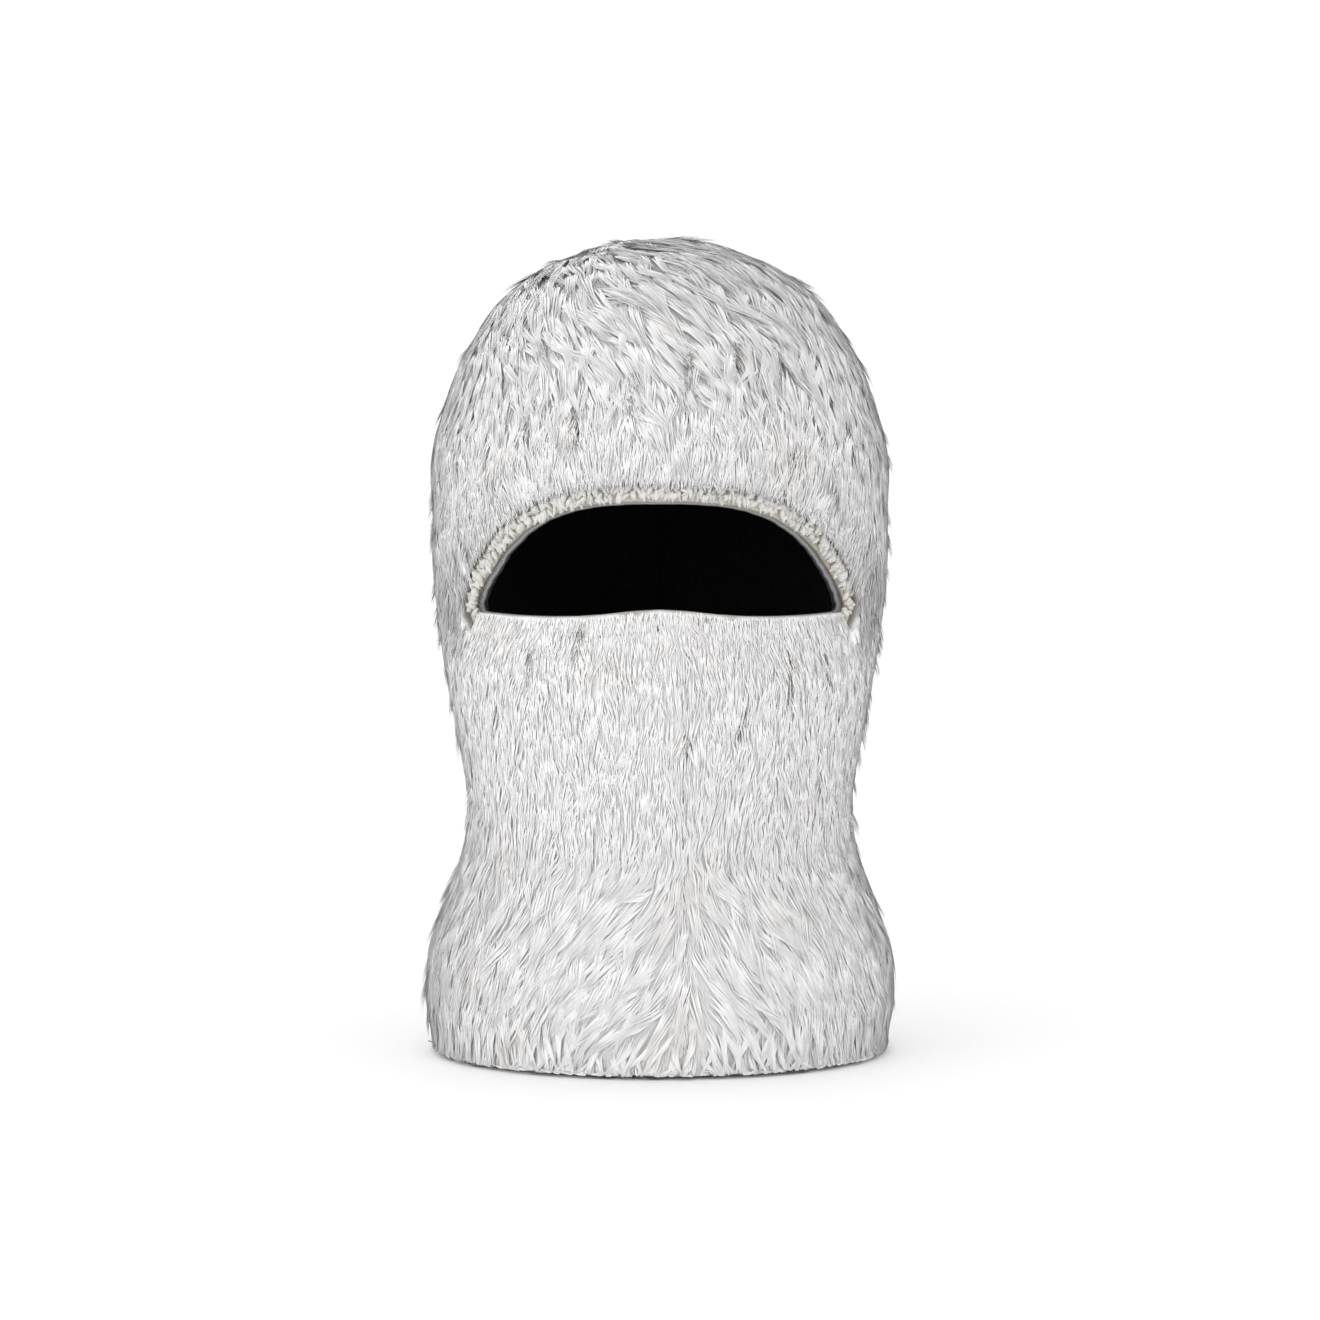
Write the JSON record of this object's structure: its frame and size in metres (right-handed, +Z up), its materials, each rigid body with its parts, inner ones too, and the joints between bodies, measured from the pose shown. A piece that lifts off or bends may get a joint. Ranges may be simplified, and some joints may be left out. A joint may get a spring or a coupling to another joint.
{
  "type": "fur full-face mask",
  "caption": "Pull-on winter face mask: a knitted hood with one eye opening, covered in columns of white fur, with a dark lining, elastic eye rim and hem.",
  "frame": {"origin": "centre of the hem, on the plane that the hem's flat underside rests on", "axes": "+Z up from the hem to the crown, -Y out of the eye opening the way the wearer looks, +X to the right of someone facing the mask's front"},
  "size_m": [0.2076, 0.2159, 0.3589],
  "materials": {
    "white_fur": "dense soft white fur, about 12 mm deep, lying downwards in vertical columns",
    "cream_braid": "cream braided rim, short pile with dark flecks between its stitches",
    "cream_knit": "cream ribbed knit, matt",
    "black_jersey": "black jersey lining, matt",
    "pale_tape": "pale grey-white folded tape with a fine twill",
    "elastic_cord": "white covered elastic",
    "sewing_thread": "off-white twisted sewing thread"
  },
  "bodies": {
    "root": {"brow_fur_1": "white_fur", "brow_fur_2": "white_fur", "brow_fur_3": "white_fur", "brow_fur_4": "white_fur", "brow_fur_5": "white_fur", "brow_fur_6": "white_fur", "brow_fur_7": "white_fur", "brow_fur_8": "white_fur", "brow_fur_9": "white_fur", "cheek_fur_1": "white_fur", "cheek_fur_2": "white_fur", "cheek_fur_3": "white_fur", "cheek_fur_4": "white_fur", "cheek_fur_5": "white_fur", "cheek_fur_6": "white_fur", "cheek_fur_7": "white_fur", "cheek_fur_8": "white_fur", "cheek_fur_9": "white_fur", "hood_fur_1": "white_fur", "hood_fur_2": "white_fur", "hood_fur_3": "white_fur", "hood_fur_4": "white_fur", "hood_fur_5": "white_fur", "hood_fur_6": "white_fur", "hood_fur_7": "white_fur", "hood_fur_8": "white_fur", "hood_fur_9": "white_fur", "hood_fur_10": "white_fur", "hood_fur_11": "white_fur", "hood_fur_12": "white_fur", "hood_fur_13": "white_fur", "hood_fur_14": "white_fur", "hood_fur_15": "white_fur", "hood_fur_16": "white_fur", "hood_fur_17": "white_fur", "hood_fur_18": "white_fur", "hood_fur_19": "white_fur", "crown_tuft": "white_fur", "knit_base": "cream_knit", "lining_left": "black_jersey", "lining_right": "black_jersey", "upper_eye_rim": "cream_braid", "lower_eye_rim": "cream_braid", "eye_binding": "pale_tape", "hem_binding": "pale_tape", "eye_elastic": "elastic_cord", "hem_elastic": "elastic_cord", "crown_gather_thread": "sewing_thread"}
  },
  "joints": []
}
